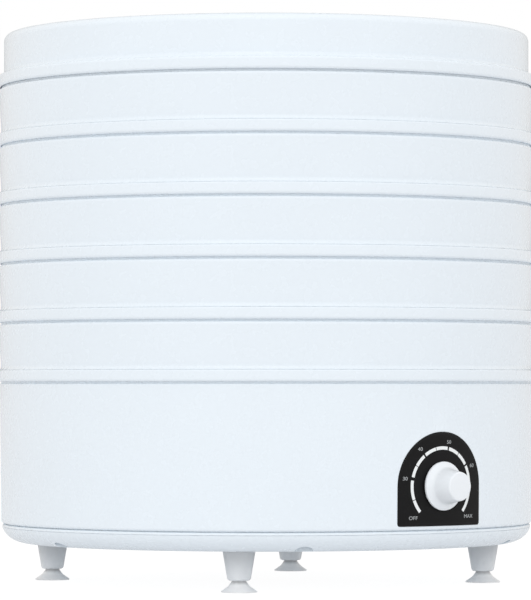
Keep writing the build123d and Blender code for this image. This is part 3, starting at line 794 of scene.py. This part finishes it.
def make_housing():
    """Housing wall and deck with the dial recess, thermostat seat, cord hole and screw pillars."""
    corners = [
        (*HOUSING_LOW, JOINT_EDGE),
        (*HOUSING_TOP, SKIRT_TOP_EDGE),
        (SPIGOT_R, HOUSING_TOP[1]),
        (SPIGOT_R, BASE_SPIGOT_TOP, SPIGOT_EDGE),
        (SPIGOT_BORE_R, BASE_SPIGOT_TOP, SPIGOT_EDGE),
        (SPIGOT_BORE_R, DECK_TOP, 1.5),
        (OUTLET_R, DECK_TOP),
        (OUTLET_R, DECK_LOW),
        (housing_r(DECK_LOW) - HOUSING_WALL, DECK_LOW, 2.0),
        (HOUSING_LOW[0] - HOUSING_WALL, HOUSING_LOW[1]),
    ]
    shell = lathe("housing_shell", corners)
    cuts = [arch_solid("recess", 0.2, -0.5, 6.0)]
    cuts.append(place(rod("seat", THERMOSTAT_SEAT_R, -0.6, 3.0), dial_matrix()))
    cuts.append(place(rod("bush_hole", THERMOSTAT_HOLE_R, -8.0, 3.0), dial_matrix()))
    rear = Matrix.Translation((0, 0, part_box("cord_bush")[0].z / 2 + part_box("cord_bush")[1].z / 2))
    rear = rear @ Matrix.Rotation(math.radians(-90), 4, "X")
    cuts.append(place(rod("cord_hole", CORD_HOLE_R, 170.0, 210.0), rear))
    for azimuth in (45, 135, 225, 315):
        hole = rod("screw_hole", 2.0, DECK_LOW - 2, DECK_TOP + 2.4, 32)
        cuts.append(place(hole, turned(azimuth, GRILLE_SCREW_RADIUS)))
    for cut in cuts:
        boolean(shell, cut)
    pillar_corners = [
        (PILLAR_BORE_R, PILLAR_LOW),
        (PILLAR_R, PILLAR_LOW, 0.4),
        (PILLAR_R, DECK_LOW),
        (PILLAR_BORE_R, DECK_LOW),
    ]
    seat_corners = [
        (THERMOSTAT_HOLE_R, -3.6),
        (9.5, -3.6, 0.4),
        (9.5, -1.0),
        (THERMOSTAT_HOLE_R, -1.0),
    ]
    parts = [shell]
    for azimuth in WELL_AZIMUTHS:
        pillar = lathe("pillar", pillar_corners, segments=40)
        parts.append(place(pillar, turned(azimuth, WELL_RADIUS)))
    parts.append(place(lathe("seat_boss", seat_corners, segments=64), dial_matrix()))
    whole = joined("housing", parts)
    shade(whole.data)
    node_name = "base_housing"
    finish_piece(whole, body_of(node_name), "white_plastic", materials["white_plastic"], node_name)


def pan_curve(seam, width, height):
    """Quarter ellipse from straight below the pan's curve centre out to the side at the seam."""
    steps = 22
    points = []
    for k in range(steps + 1):
        a = math.pi / 2 * k / steps
        points.append((PAN_CURVE_R + width * math.sin(a), seam - height * math.cos(a)))
    return points


def make_pan():
    """Bottom pan with a rolled edge, rim lip, screw wells, intake slots and motor posts."""
    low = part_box("bottom_pan")[0].z / MM
    seam = low + PAN_CURVE_HEIGHT
    lip_top = low + 19.5
    outer = pan_curve(seam, 18.2, PAN_CURVE_HEIGHT)
    inner = pan_curve(seam, 14.0, 11.2)
    boss_limit = pan_curve(seam, 17.9, 13.3)
    corners = [(0, low)] + outer[:-2] + [(*outer[-1], 1.6)]
    corners += [(189.0, seam), (189.0, lip_top, 0.4), (187.0, lip_top, 0.4)]
    corners += list(reversed(inner)) + [(0, low + PAN_FLOOR)]
    pan = lathe("pan_shell", corners)
    well_low, well_top = low - 1, low + WELL_TOP
    for azimuth in WELL_AZIMUTHS:
        boolean(pan, place(rod("well", WELL_R, well_low, well_top), turned(azimuth, WELL_RADIUS)))
    boolean(pan, joined("intakes", slot_ring(24, 24, 60, VENT_WIDTH, low - 1, low + PAN_FLOOR + 1)))
    boss_corners = [
        (WELL_R, well_low),
        (WELL_R, well_top),
        (CASE_SCREW_HOLE_R, well_top),
        (CASE_SCREW_HOLE_R, low + BOSS_TOP),
        (WELL_R + BOSS_WALL, low + BOSS_TOP, 0.5),
        (WELL_R + BOSS_WALL, well_low),
    ]
    post_corners = [
        (1.6, low + 4.4),
        (1.6, MOTOR_POST_TOP),
        (5, MOTOR_POST_TOP, 0.4),
        (5, low + 2.2),
        (0, low + 2.2),
        (0, low + 4.4),
    ]
    parts = [pan]
    for azimuth in WELL_AZIMUTHS:
        boss = place(lathe("boss", boss_corners, segments=48), turned(azimuth, WELL_RADIUS))
        envelope = lathe("envelope", [(0, low + 0.3), *boss_limit, (0, seam)])
        parts.append(boolean(boss, envelope, "INTERSECT"))
    for x in (-MOTOR_POST_X, MOTOR_POST_X):
        post = lathe("post", post_corners, segments=40)
        parts.append(place(post, Matrix.Translation((x * MM, 0, 0))))
    whole = joined("pan", parts)
    shade(whole.data)
    node_name = "bottom_pan"
    finish_piece(whole, body_of(node_name), "white_plastic", materials["white_plastic"], node_name)


LEG_BORE_R = 3.3
LEG_POST_R = 4.4
LEG_SCREW_HOLE_R = 1.9
LEG_SCREW_SEAT = 15.5
CUP_R = 12.4
CUP_NECK_R = 5.2
CUP_TOP = 7.9
CUP_STUD_R = 3.2
CUP_STUD_TOP = 13.6


def make_feet():
    """Hollow tapered legs and the suction cups below them."""
    leg_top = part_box("leg_1")[1].z / MM
    leg_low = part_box("leg_1")[0].z / MM
    leg_corners = [
        (0, LEG_SCREW_SEAT),
        (LEG_SCREW_HOLE_R, LEG_SCREW_SEAT),
        (LEG_SCREW_HOLE_R, leg_top),
        (LEG_POST_R, leg_top),
        (LEG_POST_R, 11.0, 0.8),
        (6.7, 11.0, 1.2),
        (9.8, leg_top, 0.3),
        (11.4, leg_top, 0.3),
        (7.9, leg_low, 2.2),
        (LEG_BORE_R, leg_low),
        (LEG_BORE_R, 14.0),
        (0, 14.0),
    ]
    cup_corners = [
        (0, 4.6),
        (1.4, 4.6, 0.6),
        (CUP_R - 1.2, 0),
        (CUP_R, 0, 0.25),
        (CUP_R, 0.7, 0.3),
        (7.6, 4.0, 6.0),
        (CUP_NECK_R, 7.2, 0.8),
        (CUP_NECK_R - 0.4, CUP_TOP),
        (CUP_STUD_R, CUP_TOP),
        (CUP_STUD_R, CUP_STUD_TOP, 0.4),
        (0, CUP_STUD_TOP),
    ]
    leg_mesh = lathe_mesh("leg", leg_corners, segments=SMALL_SEGMENTS)
    cup_mesh = lathe_mesh("cup", cup_corners, segments=SMALL_SEGMENTS)
    for number in FEET:
        leg_node, cup_node = f"leg_{number}", f"suction_cup_{number}"
        low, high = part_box(cup_node)
        leg = add_object(f"foot_leg_{number}", leg_mesh)
        cup = add_object(f"foot_cup_{number}", cup_mesh)
        for piece in (leg, cup):
            piece.location = ((low.x + high.x) / 2, (low.y + high.y) / 2, 0)
        finish_piece(leg, body_of(leg_node), "clear_plastic", materials["clear_plastic"], leg_node)
        finish_piece(cup, body_of(cup_node), "silicone", materials["silicone"], cup_node)


# ---------------------------------------------------------------- dial

PLATE_PROUD = 0.4
PLATE_BEVEL = 0.25
PRINT_PROUD = 0.45
PRINT_UNDER = 0.38
TICK_HALF = 0.55
LABEL_THICKNESS_HALF = 0.035
ARC_INNER = 25.0
ARC_OUTER = 27.3
ARC_PARTS = ((222, 171), (166, 128), (125, 80), (77, 34), (31, -42))
ARC_TICKS = (201, 148, 103, 56, -5)
LABELS = (
    ("30", 170.5, 32.2),
    ("40", 127.5, 32.0),
    ("50", 79, 30.6),
    ("60", 25.5, 31.8),
    ("OFF", 221, 33.2),
    ("MAX", -40, 33.2),
)
LABEL_SIZE = 3.5
LABEL_STRETCH = 1.2


def print_strip(made, inner, outer, start, end):
    """Thin raised print between two radii and two angles, degrees seen from the front."""
    section = (
        (inner, PRINT_UNDER),
        (inner, PRINT_PROUD),
        (outer, PRINT_PROUD),
        (outer, PRINT_UNDER),
    )
    steps = max(1, math.ceil(abs(end - start) / 2))
    rows = []
    for k in range(steps + 1):
        a = math.radians(start + (end - start) * k / steps)
        row = []
        for r, proud in section:
            row.append(made.verts.new(on_wall(r * math.cos(a), r * math.sin(a), proud)))
        rows.append(row)
    for first, second in zip(rows, rows[1:]):
        for k in range(4):
            n = (k + 1) % 4
            made.faces.new((first[k], first[n], second[n], second[k]))
    made.faces.new(rows[0])
    made.faces.new(list(reversed(rows[-1])))


def make_scale():
    """Printed scale band, in parts with fine tick gaps."""
    made = bmesh.new()
    for start, end in ARC_PARTS:
        stops = [start]
        for tick in ARC_TICKS:
            if end < tick < start:
                stops += [tick + TICK_HALF, tick - TICK_HALF]
        stops.append(end)
        for a, b in zip(stops[::2], stops[1::2]):
            print_strip(made, ARC_INNER, ARC_OUTER, a, b)
    bmesh.ops.recalc_face_normals(made, faces=made.faces)
    scale = add_object("dial_scale", finished_mesh(made, "dial_scale"))
    finish_piece(scale, body_of("dial_plate"), "knob_plastic", materials["print"])


def make_labels():
    """Numbers and words of the scale as thin raised print."""
    for number, (text, angle, radius) in enumerate(LABELS):
        curve = bpy.data.curves.new(f"label_{number}", "FONT")
        curve.body = text
        curve.size = LABEL_SIZE
        curve.align_x = "CENTER"
        curve.align_y = "CENTER"
        curve.extrude = LABEL_THICKNESS_HALF
        curve.resolution_u = 6
        source = add_object("label_source", curve)
        bpy.context.view_layer.update()
        graph = bpy.context.evaluated_depsgraph_get()
        mesh = bpy.data.meshes.new_from_object(source.evaluated_get(graph))
        bpy.data.objects.remove(source)
        a = math.radians(angle)
        for vert in mesh.vertices:
            x, y, z = vert.co
            across = x * LABEL_STRETCH + radius * math.cos(a)
            vert.co = on_wall(across, y + radius * math.sin(a), PRINT_PROUD - LABEL_THICKNESS_HALF + z)
        mesh.update()
        label = add_object(f"dial_label_{number}", mesh)
        finish_piece(label, body_of("dial_plate"), "knob_plastic", materials["label"])


def make_plate():
    """Black arched plate in the housing's recess."""
    plate = arch_solid("dial_arch", 0.0, -0.45, PLATE_PROUD, PLATE_BEVEL)
    finish_piece(plate, body_of("dial_plate"), "black_plastic", materials["black_plastic"], "dial_plate")


KNOB_UNDER = 0.9
KNOB_FLANGE_R = 16.8
KNOB_GRIP_R = 12.6
KNOB_FACE_R = 9.8
KNOB_FACE = 19.0


def make_knob():
    """Flanged knob with a tapered grip and a crowned face, hollow below for the nut."""
    corners = [
        (0, KNOB_FACE + 0.2),
        (0, 4.2),
        (8.6, 4.2),
        (8.6, 2.0),
        (14.4, 2.0),
        (14.4, KNOB_UNDER),
        (KNOB_FLANGE_R, KNOB_UNDER, 0.4),
        (KNOB_FLANGE_R, 2.6, 0.8),
        (KNOB_GRIP_R, 5.0, 3.5),
        (KNOB_FACE_R, KNOB_FACE, 1.2),
        (5.0, KNOB_FACE + 0.15, 3.0),
    ]
    knob = place(lathe("dial_knob", corners, segments=160), dial_matrix())
    finish_piece(knob, body_of("knob"), "knob_plastic", materials["knob_plastic"], "knob")


make_trays()
make_lid()
make_housing()
make_pan()
make_feet()
make_plate()
make_scale()
make_labels()
make_knob()


# ---------------------------------------------------------------- stage, lights and camera


FLOOR_HALF = 40.0
WORLD_STOPS = (
    (0.0, (0.25, 0.25, 0.25)),
    (0.05, (0.30, 0.30, 0.30)),
    (0.09, (0.66, 0.62, 0.58)),
    (0.17, (0.86, 0.80, 0.74)),
    (0.35, (0.98, 0.91, 0.85)),
    (0.5, (0.98, 0.97, 0.96)),
    (0.75, (1.11, 1.11, 1.11)),
    (1.0, (1.19, 1.19, 1.19)),
)
CAMERA_DISTANCE = 2.85
CAMERA_HEIGHT = 0.1435
CAMERA_TILT = 1.212
CAMERA_TURN = 0.0102
CAMERA_LENS = 235.4


def make_floor():
    """Pale floor that fades into the white backdrop.

    The camera sees a glow that keeps only a faint shadow. Light that bounces off it meets a plain
    pale surface."""
    made = bmesh.new()
    half = FLOOR_HALF
    corners = ((-half, -half), (half, -half), (half, half), (-half, half))
    made.faces.new([made.verts.new((x, y, 0)) for x, y in corners])
    floor = add_object("floor", finished_mesh(made, "floor"))
    material = bpy.data.materials.new("floor")
    material.use_nodes = True
    material.node_tree.nodes.clear()
    output = node(material, "ShaderNodeOutputMaterial")
    total = node(material, "ShaderNodeAddShader")
    seen = node(material, "ShaderNodeMixShader")
    path = node(material, "ShaderNodeLightPath")
    ground = node(material, "ShaderNodeAddShader")
    bounce = node(material, "ShaderNodeBsdfDiffuse")
    bounce.inputs["Color"].default_value = (0.55, 0.55, 0.56, 1)
    haze = node(material, "ShaderNodeEmission")
    haze.inputs["Strength"].default_value = 0.3
    link(material, bounce.outputs["BSDF"], ground.inputs[0])
    link(material, haze.outputs["Emission"], ground.inputs[1])
    shadow = node(material, "ShaderNodeBsdfDiffuse")
    shadow.inputs["Color"].default_value = (0.12, 0.12, 0.12, 1)
    glow = node(material, "ShaderNodeEmission")
    glow.inputs["Color"].default_value = (1, 1, 1, 1)
    glow.inputs["Strength"].default_value = 0.94
    link(material, shadow.outputs["BSDF"], total.inputs[0])
    link(material, glow.outputs["Emission"], total.inputs[1])
    link(material, path.outputs["Is Camera Ray"], seen.inputs["Fac"])
    link(material, ground.outputs["Shader"], seen.inputs[1])
    link(material, total.outputs["Shader"], seen.inputs[2])
    link(material, seen.outputs["Shader"], output.inputs["Surface"])
    floor.data.materials.append(material)


def make_world():
    """White backdrop for the camera. The object is lit by a ramp round the horizon, dark straight
    behind it and bright in front, which outlines its sides."""
    world = bpy.data.worlds.new("studio")
    bpy.context.scene.world = world
    world.use_nodes = True
    tree = world.node_tree
    tree.nodes.clear()
    output = tree.nodes.new("ShaderNodeOutputWorld")
    blend = tree.nodes.new("ShaderNodeMixShader")
    path = tree.nodes.new("ShaderNodeLightPath")
    seen = tree.nodes.new("ShaderNodeBackground")
    seen.inputs["Color"].default_value = (1, 1, 1, 1)
    seen.inputs["Strength"].default_value = 1.0
    around = tree.nodes.new("ShaderNodeBackground")
    around.inputs["Strength"].default_value = 1.0
    direction = tree.nodes.new("ShaderNodeTexCoord")
    split = tree.nodes.new("ShaderNodeSeparateXYZ")
    tree.links.new(direction.outputs["Generated"], split.inputs["Vector"])
    angle = tree.nodes.new("ShaderNodeMath")
    angle.operation = "ARCTAN2"
    tree.links.new(split.outputs["X"], angle.inputs[0])
    tree.links.new(split.outputs["Y"], angle.inputs[1])
    size = tree.nodes.new("ShaderNodeMath")
    size.operation = "ABSOLUTE"
    tree.links.new(angle.outputs["Value"], size.inputs[0])
    turn = tree.nodes.new("ShaderNodeMath")
    turn.operation = "DIVIDE"
    turn.inputs[1].default_value = math.pi
    tree.links.new(size.outputs["Value"], turn.inputs[0])
    ramp = tree.nodes.new("ShaderNodeValToRGB")
    elements = ramp.color_ramp.elements
    for stop, (position, colour) in zip(elements, (WORLD_STOPS[0], WORLD_STOPS[-1])):
        stop.position = position
        stop.color = (*colour, 1)
    for position, colour in WORLD_STOPS[1:-1]:
        elements.new(position).color = (*colour, 1)
    tree.links.new(turn.outputs["Value"], ramp.inputs["Fac"])
    tree.links.new(ramp.outputs["Color"], around.inputs["Color"])
    tree.links.new(path.outputs["Is Camera Ray"], blend.inputs["Fac"])
    tree.links.new(around.outputs["Background"], blend.inputs[1])
    tree.links.new(seen.outputs["Background"], blend.inputs[2])
    tree.links.new(blend.outputs["Shader"], output.inputs["Surface"])


def area_light(name, location, target, size, energy):
    """Soft square light aimed at a point."""
    light = bpy.data.lights.new(name, "AREA")
    light.size = size
    light.energy = energy
    lamp = add_object(name, light)
    lamp.location = location
    lamp.rotation_euler = (Vector(target) - Vector(location)).to_track_quat("-Z", "Y").to_euler()


def make_camera():
    """Long lens in front of the object, level with the base's top edge and tilted slightly up."""
    camera = bpy.data.cameras.new("camera")
    camera.lens = CAMERA_LENS
    camera.sensor_width = 36.0
    camera.clip_end = 200.0
    holder = add_object("camera", camera)
    holder.location = (0.0, -CAMERA_DISTANCE, CAMERA_HEIGHT)
    holder.rotation_euler = (math.radians(90 + CAMERA_TILT), 0.0, math.radians(CAMERA_TURN))
    bpy.context.scene.camera = holder


make_floor()
make_world()
area_light("front", (-0.4, -2.2, 2.0), (0, 0, 0.2), 1.8, 6.0)
make_camera()
bpy.context.scene.view_settings.view_transform = "Standard"
